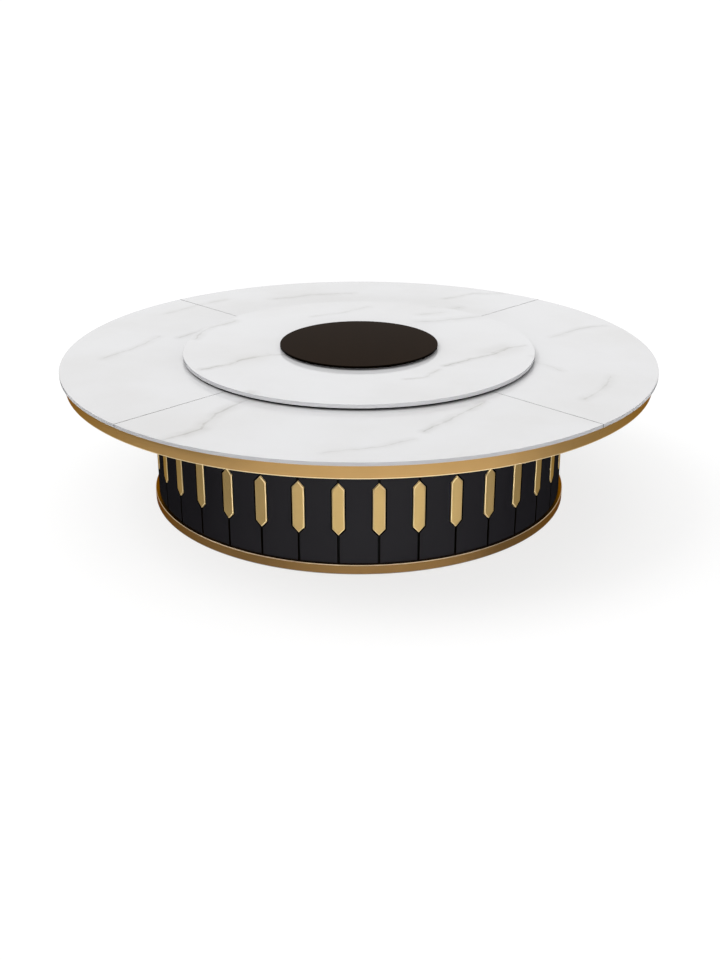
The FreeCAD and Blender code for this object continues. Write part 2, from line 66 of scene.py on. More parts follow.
# Where each quarter starts, in degrees from +X, and the sweeps and steps of the turned meshes
QUARTERS = {"front": 225.0, "right": 315.0, "back": 45.0, "left": 135.0}
QUARTER_ANGLE = 90.0
FULL_ANGLE = 360.0
DEGREES_PER_STEP = 1.0
MILLIMETRE = 0.001

# Gaps at the seams between quarters, of the stone and of the gold sheet
STONE_SEAM = 4 * MILLIMETRE
SHEET_SEAM = 0.4 * MILLIMETRE

# Dark strip in the stone's seams, which is painted shade in them, and black strip in the joints of
# the skins behind the panels: their play at both sides and how far they stay below the face
SEAM_STRIP_PLAY = 0.1 * MILLIMETRE
JOINT_PLAY = 0.03 * MILLIMETRE
STRIP_DEPTH = 0.5 * MILLIMETRE

# Gold skirt: its sheet, how far it tapers in, and the height of the band along its foot that gets a
# painted highlight
SKIRT_SHEET = 1.5 * MILLIMETRE
SKIRT_TAPER = 12 * MILLIMETRE
SKIRT_HIGHLIGHT_HEM = 4 * MILLIMETRE

# Drum cladding
PANELS_PER_QUARTER = 9
PANEL_ANGLE = QUARTER_ANGLE / PANELS_PER_QUARTER
GROOVE_WIDTH = 9 * MILLIMETRE
INLAY_WIDTH = 60 * MILLIMETRE
INLAY_POINT = 32 * MILLIMETRE
INLAY_BORDER = 5.5 * MILLIMETRE
INLAY_BEVEL = 4.5 * MILLIMETRE
INLAY_BEVEL_DEPTH = 3 * MILLIMETRE
INLAY_PROUD = 2 * MILLIMETRE
PANEL_EDGE = 1.5 * MILLIMETRE
PANEL_STRIPS = 8

# Plinth: its sheet, its bevelled edge, and the angle in degrees that the sheet is folded by there
PLINTH_SHEET = 1.5 * MILLIMETRE
PLINTH_EDGE = 3 * MILLIMETRE
PLINTH_FOLD = 45.0

# How softly the painted shade on the floor sets in under the plinth's edge, where its glow is turned off
SHADE_EDGE = 10 * MILLIMETRE

# Rounding of the edges: how wide it is, how many steps it has in general and on the inlays and the
# plinth, and the angles in degrees above which an edge is rounded and above which it is shaded sharp
STONE_EDGE = 1.6 * MILLIMETRE
GLASS_EDGE = 1.5 * MILLIMETRE
BOARD_EDGE = 0.5 * MILLIMETRE
SHEET_EDGE = 0.6 * MILLIMETRE
EDGE_STEPS = 3
TRIM_STEPS = 2
ROUNDED_ANGLE = 25.0
SHARP_ANGLE = 30.0

# How far a face has to look outward, from -1 to 1, to be a piece's edge, the skirt's hem or the front of
# a panel, and how near to an inlay's slope it has to be to be part of its bevel. The rims found so carry
# painted shade on the stone and the panels and a painted highlight on the golds
EDGE_FACING = 0.5
HIGHLIGHT_HEM_FACING = 0.9
PANEL_FACING = 0.98
SLOPE_PLAY = 0.1

# Camera, found from the ellipses of the tops and the plinth in the photograph
CAMERA_PLACE = (0.006, -6.4406, 2.7476)
CAMERA_TILT = math.radians(67.01)
CAMERA_LENS = 45.96

# Floor: half its width in metres, its grey and its own glow
FLOOR_REACH = 200.0
FLOOR_GREY = 0.26
FLOOR_GLOW = 0.75

# World: which way the softbox is, and the steps of light in the world. Each step gives two values
# of its part of the direction, and then the levels there. A height is 0 at the horizon and 1
# overhead, a depth is 1 straight behind the table. The blend is how softly the horizon's light
# goes over into that of the backdrop and the light overhead.
SOFTBOX_DIRECTION = (0.17, -0.985, 0.0)
SOFTBOX_ACROSS = (0.28, 1.0, 0.0, 20.0)
SOFTBOX_FOOT = (0.0, 0.03, 0.0, 1.0)
SOFTBOX_HEAD = (0.17, 0.08, 0.0, 1.0)
BACKDROP_DEPTH = (0.0, 0.8, 0.5, 1.0)
BACKDROP_HEIGHT = (0.75, 0.45, 0.0, 1.0)
OVERHEAD_HEIGHT = (0.45, 0.95, 0.06, 0.7)
HORIZON_HEIGHT = (0.30, 0.06, 0.0, 1.0)
HORIZON_BLEND = 0.4

# Lamps: name, place that the light comes from, spread in degrees and strength
LAMPS = [
    ("key", (-4.2, 0.0, 5.6), 40.0, 1.3),
    ("top", (0.0, 0.6, 7.0), 50.0, 0.55),
]

# For the shaders: straight up, and what a place is multiplied by to lie flat on the floor
UP = (0, 0, 1)
FLAT = (1, 1, 0)


def reach(node):
    """Inner radius, outer radius, lowest and highest point of a CAD node, about the table's axis."""
    points = [vertex.co for vertex in frame["nodes"][node].data.vertices]
    radii = [math.hypot(point.x, point.y) for point in points]
    heights = [point.z for point in points]
    return min(radii), max(radii), min(heights), max(heights)


def make_piece(name, mesh_data, body, slot, material, *replaced):
    """A finished piece on its body, standing for its CAD node where it has one."""
    piece = bpy.data.objects.new(name, mesh_data)
    bpy.context.scene.collection.objects.link(piece)
    mesh_data.materials.append(material)
    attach(piece, body)
    if replaced:
        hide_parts(*replaced)
    return piece


def to_mesh(name, shape):
    """A mesh from a bmesh, smooth apart from its sharp edges."""
    bmesh.ops.recalc_face_normals(shape, faces=shape.faces)
    data = bpy.data.meshes.new(name)
    shape.to_mesh(data)
    shape.free()
    data.shade_smooth()
    data.set_sharp_from_angle(angle=math.radians(SHARP_ANGLE))
    return data


def soften(piece, width, segments=EDGE_STEPS):
    """Rounds the edges of a piece."""
    bevel = piece.modifiers.new("edges", "BEVEL")
    bevel.width = width
    bevel.segments = segments
    bevel.limit_method = "ANGLE"
    bevel.angle_limit = math.radians(ROUNDED_ANGLE)
    bevel.harden_normals = True
    return piece


def lathe(name, profile, start=0.0, sweep=FULL_ANGLE):
    """A turned mesh; the profile's points are (radius, height), and radius zero is the axis."""
    shape = bmesh.new()
    count = round(sweep / DEGREES_PER_STEP)
    full = sweep == FULL_ANGLE
    rings = []
    for index in range(count if full else count + 1):
        angle = math.radians(start + sweep * index / count)
        ring = []
        for place, (radius, height) in enumerate(profile):
            if radius == 0 and rings:
                ring.append(rings[0][place])
            else:
                ring.append(shape.verts.new((radius * math.cos(angle), radius * math.sin(angle), height)))
        rings.append(ring)
    pairs = list(zip(rings, rings[1:] + rings[:1])) if full else list(zip(rings, rings[1:]))
    for ring, following in pairs:
        for place in range(len(profile)):
            after = (place + 1) % len(profile)
            corners = [ring[place], ring[after], following[after], following[place]]
            unique = list(dict.fromkeys(corners))
            if len(unique) > 2:
                shape.faces.new(unique)
    if not full:
        shape.faces.new(rings[0])
        shape.faces.new(rings[-1])
    return to_mesh(name, shape)


def quarter(name, profile, quarter_name, seam):
    """A quarter of a turned ring, short of its seams by half the gap each."""
    gap_angle = math.degrees(seam / cad_high.x)
    return lathe(name, profile, QUARTERS[quarter_name] + gap_angle / 2, QUARTER_ANGLE - gap_angle)


def mark_rim(name, is_rim):
    """Marks the faces of a mesh that are its rim, which its material gives a look of their own: painted
    shade on the stone and the panels, a painted highlight on the golds, and a darker edge on the glass.
    """
    data = bpy.data.meshes[name]
    rim = data.attributes.new("rim", "FLOAT", "FACE")
    for face in data.polygons:
        rim.data[face.index].value = 1.0 if is_rim(face) else 0.0


def on_radius(point, angle):
    """A point given as (along the drum's face, out from the axis, height), set flat at an angle."""
    along, out, height = point
    direction = Vector((math.cos(angle), math.sin(angle), 0))
    side = Vector((-math.sin(angle), math.cos(angle), 0))
    return direction * out + side * along + Vector((0, 0, height))


def on_drum(point, angle, radius):
    """The same point, bent round the drum."""
    along, out, height = point
    turned = angle + along / radius
    return Vector((out * math.cos(turned), out * math.sin(turned), height))


def outward(face):
    """How far a face looks away from the table's axis, from -1 to 1."""
    direction = Vector((face.center.x, face.center.y, 0)).normalized()
    return direction.dot(face.normal)


def repeated(name, template, places):
    """A mesh of the template's copies; each place is a function from a template point to its spot."""
    shape = bmesh.new()
    for place in places:
        copies = {vertex: shape.verts.new(place(vertex.co)) for vertex in template.verts}
        for face in template.faces:
            shape.faces.new([copies[vertex] for vertex in face.verts])
    template.free()
    return to_mesh(name, shape)


def hexagon(grow):
    """Half of an inlay's outline, moved out by grow, as (tip, side, shoulder)."""
    half = INLAY_WIDTH / 2
    slant = math.hypot(half, INLAY_POINT)
    low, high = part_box("inlays_front")
    side = half + grow
    tip = (high.z - low.z) / 2 + grow * slant / half
    shoulder = tip - side * INLAY_POINT / half
    return tip, side, shoulder


def inlay_middle():
    """The height of the inlays' middle."""
    low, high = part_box("inlays_front")
    return (low.z + high.z) / 2


def bridge(shape, rings):
    """Joins each ring of corners to the next by a band of faces, and closes both ends."""
    shape.faces.new(rings[0])
    shape.faces.new(rings[-1])
    for ring, following in zip(rings, rings[1:]):
        for index in range(len(ring)):
            after = (index + 1) % len(ring)
            shape.faces.new([ring[index], ring[after], following[after], following[index]])


def panel_outline(inset, half_width, low, high):
    """A panel's outline, moved in by inset: half a groove and half an inlay's window at each side."""
    middle = inlay_middle()
    tip, side, shoulder = hexagon(INLAY_BORDER + inset)
    groove = GROOVE_WIDTH / 2 + inset
    notch = tip - groove * INLAY_POINT / (INLAY_WIDTH / 2)
    right = [
        (half_width - groove, low + inset),
        (half_width - groove, middle - notch),
        (half_width - side, middle - shoulder),
        (half_width - side, middle + shoulder),
        (half_width - groove, middle + notch),
        (half_width - groove, high - inset),
    ]
    return right + [(-along, height) for along, height in reversed(right)]


def panel_template():
    """One panel laid flat, with its outer edges broken, and cut into strips so that it can bend."""
    back, front, low, high = reach("panels_front")
    half_width = front * math.radians(PANEL_ANGLE) / 2
    shape = bmesh.new()
    rings = []
    for out, inset in ((back, 0.0), (front - PANEL_EDGE, 0.0), (front, PANEL_EDGE)):
        outline = panel_outline(inset, half_width, low, high)
        rings.append([shape.verts.new((along, out, height)) for along, height in outline])
    bridge(shape, rings)
    for index in range(1, PANEL_STRIPS):
        along = half_width * (2 * index / PANEL_STRIPS - 1)
        bmesh.ops.bisect_plane(shape, geom=list(shape.verts) + list(shape.edges) + list(shape.faces),
                               plane_co=(along, 0, 0), plane_no=(1, 0, 0))
    return shape, front


def make_panels(quarter_name, material):
    """The nine bent panels of a quarter."""
    template, front = panel_template()
    places = []
    for index in range(PANELS_PER_QUARTER):
        angle = math.radians(QUARTERS[quarter_name] + PANEL_ANGLE * (index + 0.5))
        places.append(lambda point, angle=angle: on_drum(point, angle, front))
    node = "panels_" + quarter_name
    data = repeated(node + "_finish", template, places)
    # The faces that don't look straight out are the rim, which the lacquer darkens as painted shade.
    mark_rim(data.name, lambda face: outward(face) < PANEL_FACING)
    return make_piece(node + "_finish", data, "base", "black_panel", material, node)


def make_inlays(quarter_name, material):
    """The nine inlays of a quarter, flat plates with bevelled faces."""
    rear = reach("panels_front")[0]
    front = reach("panels_front")[1] + INLAY_PROUD
    middle = inlay_middle()
    shape = bmesh.new()
    rings = []
    for out, grow in ((rear, 0.0), (front - INLAY_BEVEL_DEPTH, 0.0), (front, -INLAY_BEVEL)):
        tip, side, shoulder = hexagon(grow)
        right = [(0, tip), (side, shoulder), (side, -shoulder)]
        outline = right + [(-along, -height) for along, height in right]
        rings.append([shape.verts.new((along, out, middle + height)) for along, height in outline])
    bridge(shape, rings)
    places = []
    for index in range(PANELS_PER_QUARTER):
        angle = math.radians(QUARTERS[quarter_name] + PANEL_ANGLE * index)
        places.append(lambda point, angle=angle: on_radius(point, angle))
    node = "inlays_" + quarter_name
    data = repeated(node + "_finish", shape, places)
    slope = math.cos(math.atan(INLAY_BEVEL_DEPTH / INLAY_BEVEL))
    # The bevel faces are the rim, which the gold lightens as a painted highlight.
    mark_rim(data.name, lambda face: abs(outward(face) / slope - 1) < SLOPE_PLAY)
    piece = make_piece(node + "_finish", data, "base", "gold_steel", material, node)
    return soften(piece, SHEET_EDGE, TRIM_STEPS)


def ring_profile(inner, outer, low, high):
    """The profile of a plain ring or, with an inner radius of zero, of a disc."""
    return [(inner, low), (outer, low), (outer, high), (inner, high)]


def make_stone_top(quarter_name, material):
    """A quarter of the fixed stone ring."""
    node = "stone_top_" + quarter_name
    inner, _, low, high = reach(node)
    profile = ring_profile(inner, cad_high.x, low, high)
    data = quarter(node + "_finish", profile, quarter_name, STONE_SEAM)
    # The outer edge is the rim, which the stone's material darkens as painted shade.
    mark_rim(data.name, lambda face: outward(face) > EDGE_FACING)
    piece = make_piece(node + "_finish", data, "base", "stone", material, node)
    return soften(piece, STONE_EDGE)


def seam_strip(name, quarter_name, inner, outer, low, high, width):
    """A strip that stands in the seam at the start of a quarter."""
    shape = bmesh.new()
    bmesh.ops.create_cube(shape, size=1.0)
    spread = Vector((outer - inner, width, high - low))
    middle = Vector(((inner + outer) / 2, 0, (low + high) / 2))
    for vertex in shape.verts:
        vertex.co = Vector([size * share for size, share in zip(spread, vertex.co)]) + middle
    turn = Matrix.Rotation(math.radians(QUARTERS[quarter_name]), 3, "Z")
    bmesh.ops.rotate(shape, verts=shape.verts, matrix=turn)
    return to_mesh(name, shape)


def make_seam_shade_strip(quarter_name, material):
    """A dark strip in a seam of the stone, a little below its face: painted shade in the seam."""
    inner, _, low, high = reach("stone_top_" + quarter_name)
    data = seam_strip("seam_shade_strip_" + quarter_name, quarter_name, inner, cad_high.x - STRIP_DEPTH, low,
                      high - STRIP_DEPTH, STONE_SEAM - 2 * SEAM_STRIP_PLAY)
    return make_piece(data.name, data, "base", "rubber", material)


def make_skin_joint(quarter_name, material):
    """The black strip in a joint of the skins, so that no light comes through from inside the drum."""
    inner, outer, low, high = reach("backing_skins")
    width = STONE_SEAM * inner / cad_high.x - 2 * JOINT_PLAY
    data = seam_strip("skin_joint_" + quarter_name, quarter_name, inner, outer - STRIP_DEPTH, low, high,
                      width)
    return make_piece(data.name, data, "base", "black_board", material)


def make_skirt(quarter_name, material):
    """A quarter of the gold skirt: tapered sheet, folded in along its foot."""
    node = "skirt_" + quarter_name
    inner, top, low, high = reach(node)
    foot = top - SKIRT_TAPER
    hem = SKIRT_TAPER * SKIRT_HIGHLIGHT_HEM / (high - low)
    profile = [
        (top, high),
        (foot + hem, low + SKIRT_HIGHLIGHT_HEM),
        (foot, low),
        (inner, low),
        (inner, low + SKIRT_SHEET),
        (foot - SKIRT_SHEET, low + SKIRT_SHEET),
        (top - SKIRT_SHEET, high),
    ]
    data = quarter(node + "_finish", profile, quarter_name, SHEET_SEAM)
    # The band along the foot is the rim, which the gold lightens as a painted highlight.
    mark_rim(data.name, lambda face: outward(face) > HIGHLIGHT_HEM_FACING and face.center.z < low + SKIRT_HIGHLIGHT_HEM)
    piece = make_piece(node + "_finish", data, "base", "gold_steel", material, node)
    return soften(piece, SHEET_EDGE)


def make_plinth_trim(quarter_name, material):
    """A quarter of the plinth's folded sheet: its face, bevelled edge and ledge."""
    node = "plinth_trim_" + quarter_name
    inner, outer, low, high = reach(node)
    inset = PLINTH_EDGE + PLINTH_SHEET * math.tan(math.radians(PLINTH_FOLD / 2))
    profile = [
        (outer, low),
        (outer, high - PLINTH_EDGE),
        (outer - PLINTH_EDGE, high),
        (inner, high),
        (inner, high - PLINTH_SHEET),
        (outer - inset, high - PLINTH_SHEET),
        (outer - PLINTH_SHEET, high - inset),
        (outer - PLINTH_SHEET, low),
    ]
    data = quarter(node + "_finish", profile, quarter_name, SHEET_SEAM)
    # The bevelled edge is the rim, which the gold lightens as a painted highlight.
    mark_rim(data.name, lambda face: min(face.normal.z, outward(face)) > EDGE_FACING)
    piece = make_piece(node + "_finish", data, "base", "gold_steel", material, node)
    return soften(piece, SHEET_EDGE, TRIM_STEPS)


def make_disc(node, body, slot, material, edge):
    """A full disc with rounded edges."""
    outer, low, high = reach(node)[1:]
    data = lathe(node + "_finish", ring_profile(0.0, outer, low, high))
    # The edge is the rim: on the stone it is darkened as painted shade, on the glass it is a darker edge.
    mark_rim(data.name, lambda face: outward(face) > EDGE_FACING)
    piece = make_piece(node + "_finish", data, body, slot, material, node)
    return soften(piece, edge)


class Nodes:
    """A small helper that adds and links the nodes of one material or of the world."""

    def __init__(self, owner):
        self.owner = owner
        owner.use_nodes = True
        self.tree = owner.node_tree
        self.shader = self.tree.nodes.get("Principled BSDF") or self.tree.nodes.get("Background")

    def add(self, kind, links=None, **values):
        """A new node; the links feed its sockets, and the values set its options."""
        node = self.tree.nodes.new(kind)
        for key, value in values.items():
            setattr(node, key, value)
        for socket, source in (links or {}).items():
            self.feed(node.inputs[socket], source)
        return node

    def feed(self, socket, source):
        """Gives a socket a link or a plain value."""
        if hasattr(source, "is_output"):
            self.tree.links.new(source, socket)
        else:
            socket.default_value = source

    def math(self, operation, *values, clamp=False):
        """The result of a sum on plain numbers."""
        links = dict(enumerate(values))
        return self.add("ShaderNodeMath", links, operation=operation, use_clamp=clamp).outputs[0]

    def vector(self, operation, *values):
        """The outputs of a sum on vectors: Vector, or Value where the sum gives a number."""
        return self.add("ShaderNodeVectorMath", dict(enumerate(values)), operation=operation).outputs

    def span(self, value, low, high, to_low=0.0, to_high=1.0):
        """The value mapped smoothly from one range to another, clamped."""
        links = {"Value": value, "From Min": low, "From Max": high, "To Min": to_low, "To Max": to_high}
        return self.add("ShaderNodeMapRange", links, interpolation_type="SMOOTHSTEP").outputs["Result"]

    def shift(self, value, start, change):
        """The start plus the value times a change."""
        return self.math("MULTIPLY_ADD", value, change, start)

    def noise(self, vector, scale, detail=4.0, roughness=0.5):
        """The outputs of a noise: Fac as a number and Color as three."""
        links = {"Vector": vector, "Scale": scale, "Detail": detail, "Roughness": roughness}
        return self.add("ShaderNodeTexNoise", links).outputs

    def mix(self, factor, first, second):
        """A colour between two, the second one at a factor of 1."""
        node = self.add("ShaderNodeMix", data_type="RGBA")
        for socket, value in ((0, factor), (6, first), (7, second)):
            self.feed(node.inputs[socket], value)
        return node.outputs[2]

    def place(self):
        """Coordinates in metres that ride with the piece."""
        return self.add("ShaderNodeTexCoord").outputs["Object"]

    def rim(self):
        """1 on the faces that mark_rim has marked, and 0 elsewhere."""
        return self.add("ShaderNodeAttribute", attribute_name="rim").outputs["Fac"]

    def around(self, vector):
        """Coordinates (angle, radius, height) about the table's axis."""
        parts = self.add("ShaderNodeSeparateXYZ", {0: vector}).outputs
        angle = self.math("ARCTAN2", parts[1], parts[0])
        flat = self.add("ShaderNodeCombineXYZ", {0: parts[0], 1: parts[1]}).outputs[0]
        radius = self.vector("LENGTH", flat)["Value"]
        return self.add("ShaderNodeCombineXYZ", {0: angle, 1: radius, 2: parts[2]}).outputs[0]

    def distance(self, place, start, end):
        """The distance in the table's plane from a place to the straight stretch between two points."""
        stretch = Vector((end[0] - start[0], end[1] - start[1], 0))
        offset = self.vector("SUBTRACT", place, (start[0], start[1], 0))["Vector"]
        along = self.vector("DOT_PRODUCT", offset, stretch / stretch.length_squared)["Value"]
        share = self.add("ShaderNodeClamp", {"Value": along}).outputs[0]
        links = {0: stretch, "Scale": share}
        nearest = self.add("ShaderNodeVectorMath", links, operation="SCALE").outputs[0]
        return self.vector("DISTANCE", offset, nearest)["Value"]

    def bump(self, height, distance, strength=1.0):
        """Gives the shader a relief as deep as the distance, in metres."""
        node = self.add("ShaderNodeBump", {"Height": height, "Distance": distance, "Strength": strength})
        self.feed(self.shader.inputs["Normal"], node.outputs[0])

    def gloss(self, level, full, none):
        """A specular level that fades from full to none as the surface turns away, so that it
        doesn't mirror the softbox at a grazing look."""
        turned = self.add("ShaderNodeLayerWeight", {"Blend": 0.5}).outputs["Facing"]
        return self.span(turned, full, none, level, 0.0)

    def set(self, **values):
        """Feeds the shader's sockets by their short names, and gives the material or the world back."""
        names = {
            "color": "Base Color",
            "roughness": "Roughness",
            "metallic": "Metallic",
            "ior": "IOR",
            "specular": "Specular IOR Level",
            "tint": "Specular Tint",
            "anisotropy": "Anisotropic",
            "glow": "Emission Strength",
            "glow_color": "Emission Color",
            "light": "Color",
        }
        for key, value in values.items():
            self.feed(self.shader.inputs[names[key]], value)
        return self.owner


def new_nodes(name):
    """The nodes of a new material."""
    return Nodes(bpy.data.materials.new(name))


def rgb(red, green, blue):
    """A colour, in linear light."""
    return (red, green, blue, 1.0)


def grey(level):
    """A colour without a hue."""
    return rgb(level, level, level)


# Where gloss starts to fade and where it is gone, from 0 for a face seen straight on to 1 for one
# seen edge-on: on the stone and the glass, and on the panels
TOP_GRAZING = (0.77, 0.83)
PANEL_GRAZING = (0.05, 0.45)

# Stone: its two whites, the two hues of its veins, their strength, and the colour of its edge, a grey
# that is painted shade
STONE_WHITES = (rgb(0.665, 0.665, 0.675), rgb(0.62, 0.615, 0.615))
VEIN_HUES = (rgb(0.21, 0.205, 0.205), rgb(0.31, 0.28, 0.235))
VEIN_STRENGTH = 0.72
STONE_SHADED_RIM = rgb(0.33, 0.33, 0.34)

# Veins: the play in metres that they wander in, where their cores are at full strength and where
# their halos end, both in half widths, and how strong the halos are
VEIN_WANDER = (0.12, 0.12, 0.0)
CORE_WIDTH = 0.1
HALO_WIDTH = 4.5
HALO_STRENGTH = 0.45

# Veins of the stone, drawn in the table's plane at rest: half width, strength and points in metres
VEINS = [
    (0.009, 0.95, [(-0.82, -0.42), (-0.70, -0.35), (-0.60, -0.24), (-0.48, -0.155), (-0.40, -0.15)]),
    (0.024, 0.40, [(-0.62, -0.25), (-0.50, -0.14)]),
    (0.009, 0.85, [(0.44, -0.36), (0.60, -0.24), (0.74, -0.14), (0.82, -0.03), (0.90, 0.03)]),
    (0.032, 0.50, [(0.73, -0.12), (0.82, -0.02)]),
    (0.007, 0.60, [(0.22, -0.58), (0.33, -0.55), (0.42, -0.42)]),
    (0.020, 0.45, [(0.33, 0.49), (0.55, 0.55), (0.74, 0.62)]),
    (0.016, 0.40, [(0.36, 0.66), (0.50, 0.70)]),
    (0.014, 0.60, [(-0.92, 0.15), (-0.85, 0.35), (-0.74, 0.51)]),
    (0.010, 0.45, [(-0.28, 0.62), (-0.10, 0.70), (0.06, 0.83)]),
    (0.014, 0.60, [(-1.02, 0.27), (-0.85, 0.50), (-0.77, 0.60)]),
    (0.016, 0.75, [(-0.85, -1.34), (-0.72, -1.20), (-0.69, -1.00), (-0.62, -0.90), (-0.52, -0.80)]),
    (0.010, 0.70, [(0.30, -1.23), (0.45, -1.03), (0.55, -0.92), (0.62, -0.83)]),
    (0.012, 0.55, [(0.93, -0.17), (1.05, -0.32)]),
    (0.018, 0.45, [(0.46, 0.84), (0.62, 0.93)]),
    (0.012, 0.50, [(1.10, -0.78), (1.25, -0.58), (1.31, -0.42)]),
    (0.012, 0.50, [(1.08, 0.28), (1.27, 0.45), (1.42, 0.53)]),
    (0.012, 0.50, [(-1.36, -0.12), (-1.21, 0.12), (-1.15, 0.30)]),
    (0.014, 0.50, [(-0.55, 1.13), (-0.28, 1.25), (-0.04, 1.29)]),
    (0.012, 0.50, [(0.55, 1.14), (0.75, 1.27), (0.92, 1.30)]),
    (0.012, 0.45, [(-1.17, 0.78), (-1.00, 1.00), (-0.84, 1.11)]),
    (0.010, 0.40, [(-0.16, -1.48), (0.08, -1.41), (0.24, -1.33)]),
]


def vein_amount(n, place):
    """How much vein there is at a place: thin cores in soft halos, wandering and partly broken."""
    noise = n.noise(place, scale=2.6, detail=5.0, roughness=0.6)["Color"]
    wander = n.vector("SUBTRACT", noise, (0.5, 0.5, 0.5))["Vector"]
    flat = n.vector("MULTIPLY", place, FLAT)["Vector"]
    warped = n.vector("MULTIPLY_ADD", wander, VEIN_WANDER, flat)["Vector"]
    total = 0.0
    for width, strength, points in VEINS:
        nearest = 1.0
        for start, end in zip(points, points[1:]):
            nearest = n.math("MINIMUM", nearest, n.distance(warped, start, end))
        core = n.span(nearest, width, width * CORE_WIDTH)
        halo = n.span(nearest, width * HALO_WIDTH, 0.0, 0.0, HALO_STRENGTH)
        total = n.math("MAXIMUM", total, n.math("MULTIPLY", n.math("MAXIMUM", core, halo), strength))
    patches = n.noise(place, scale=7.0, detail=6.0, roughness=0.65)["Fac"]
    broken = n.span(patches, low=0.34, high=0.60, to_low=0.35)
    return n.math("MULTIPLY", total, broken)


def stone_material():
    """Polished white sintered stone with sparse grey and beige veins, and a rougher edge darkened to grey
    as painted shade.
    """
    n = new_nodes("stone")
    place = n.place()
    clouds = n.noise(place, scale=1.4, detail=6.0, roughness=0.55)["Fac"]
    cloud = n.span(clouds, low=0.35, high=0.75)
    ground = n.mix(cloud, *STONE_WHITES)
    hue = n.mix(n.noise(place, scale=3.1)["Fac"], *VEIN_HUES)
    face = n.mix(n.math("MULTIPLY", vein_amount(n, place), VEIN_STRENGTH), ground, hue)
    rim = n.rim()
    # Painted shade: the edge faces take a grey in place of the white.
    colour = n.mix(rim, face, STONE_SHADED_RIM)
    n.bump(n.noise(place, scale=900.0, detail=2.0)["Fac"], distance=0.02 * MILLIMETRE)
    polish = n.shift(n.noise(place, scale=60.0)["Fac"], start=0.05, change=0.04)
    roughness = n.shift(rim, start=polish, change=0.25)
    return n.set(color=colour, roughness=roughness, ior=1.6, specular=n.gloss(0.5, *TOP_GRAZING))


# Golds: the material's name, how fine its brushing is round the table, outward and up, and its dark,
# light and rim colours; the rim colour is a painted highlight. The plinth's gold is the skirt's gold
# made darker as painted shade. The record's slot gold_steel has the skirt's gold.
GOLDS = {
    "gold_steel": ("gold_skirt", (3.0, 700.0, 700.0), rgb(0.455, 0.285, 0.108),
                   rgb(0.52, 0.335, 0.135), rgb(0.80, 0.65, 0.40)),
    "gold_inlay": ("gold_inlay", (8.0, 700.0, 700.0), rgb(0.545, 0.385, 0.155),
                   rgb(0.61, 0.44, 0.190), rgb(0.70, 0.54, 0.28)),
    # Painted shade: the plinth's gold is the skirt's gold made darker.
    "shaded_plinth_gold": ("shaded_plinth_gold", (3.0, 700.0, 700.0), rgb(0.245, 0.140, 0.050),
                    rgb(0.29, 0.170, 0.064), rgb(0.78, 0.62, 0.43)),
}
GOLD_TINT = rgb(0.30, 0.16, 0.07)

# How far up the gold has to face for its polish to start and to be complete
POLISHED_FACING = (0.9, 0.99)

# Lacquer, glass and plywood: the two colours that each varies between, and those of the rims: painted
# shade near black on the lacquer's broken edges and groove sides, and the glass's darker edge
LACQUER_BLACKS = (rgb(0.009, 0.0085, 0.0100), rgb(0.012, 0.0114, 0.0132))
LACQUER_SHADED_RIM = rgb(0.0020, 0.0012, 0.0004)
GLASS_BROWNS = (rgb(0.0090, 0.0038, 0.0006), rgb(0.0130, 0.0058, 0.0014))
GLASS_RIM = rgb(0.0010, 0.0006, 0.0004)
PLYWOOD_BROWNS = (rgb(0.30, 0.20, 0.11), rgb(0.52, 0.38, 0.23))

# How fine the glass's smears and the plywood's plies and fibres are along X, Y and Z
SMEAR_FINENESS = (9.0, 2.0, 2.0)
PLY_FINENESS = (1.5, 1.5, 900.0)
FIBRE_FINENESS = (6.0, 160.0, 160.0)


def gold_material(name, fineness, dark, light, rim_highlight_colour):
    """Satin gold-coated steel, brushed one way, with smoother rims lightened as a painted highlight, and
    polished where it faces up.
    """
    n = new_nodes(name)
    place = n.place()
    lines = n.vector("MULTIPLY", n.around(place), fineness)["Vector"]
    brushed = n.noise(lines, scale=1.0, roughness=0.6)["Fac"]
    soft = n.noise(place, scale=5.0, detail=3.0)["Fac"]
    rim = n.rim()
    # Painted highlight: the rims take a lighter gold.
    colour = n.mix(rim, n.mix(soft, dark, light), rim_highlight_colour)
    n.bump(brushed, distance=0.04 * MILLIMETRE, strength=0.6)
    surface = n.add("ShaderNodeNewGeometry").outputs
    around = n.vector("CROSS_PRODUCT", UP, surface["Position"])["Vector"]
    across = n.vector("CROSS_PRODUCT", around, surface["Normal"])["Vector"]
    n.feed(n.shader.inputs["Tangent"], n.vector("NORMALIZE", across)["Vector"])
    facing = n.add("ShaderNodeSeparateXYZ", {0: surface["Normal"]}).outputs["Z"]
    upward = n.span(facing, *POLISHED_FACING)
    satin = n.shift(soft, start=n.shift(brushed, start=0.50, change=0.12), change=0.06)
    roughness = n.shift(upward, start=n.shift(rim, start=satin, change=-0.12), change=-0.38)
    return n.set(color=colour, roughness=roughness, metallic=1.0, anisotropy=0.95, tint=GOLD_TINT)


def panel_material():
    """Black satin lacquer with a faint orange peel, whose gloss fades where it turns away, and painted
    shade, near black and without gloss, on its broken edges and the sides of its grooves."""
    n = new_nodes("black_panel")
    place = n.place()
    soft = n.noise(place, scale=3.0, detail=3.0)["Fac"]
    face = n.mix(soft, *LACQUER_BLACKS)
    rim = n.rim()
    # Painted shade: the broken edges and groove sides turn near black.
    colour = n.mix(rim, face, LACQUER_SHADED_RIM)
    n.bump(n.noise(place, scale=420.0, detail=2.0)["Fac"], distance=0.03 * MILLIMETRE, strength=0.5)
    roughness = n.shift(soft, start=0.40, change=0.10)
    gloss = n.math("SUBTRACT", n.gloss(0.075, *PANEL_GRAZING), rim, clamp=True)
    return n.set(color=colour, roughness=roughness, specular=gloss)


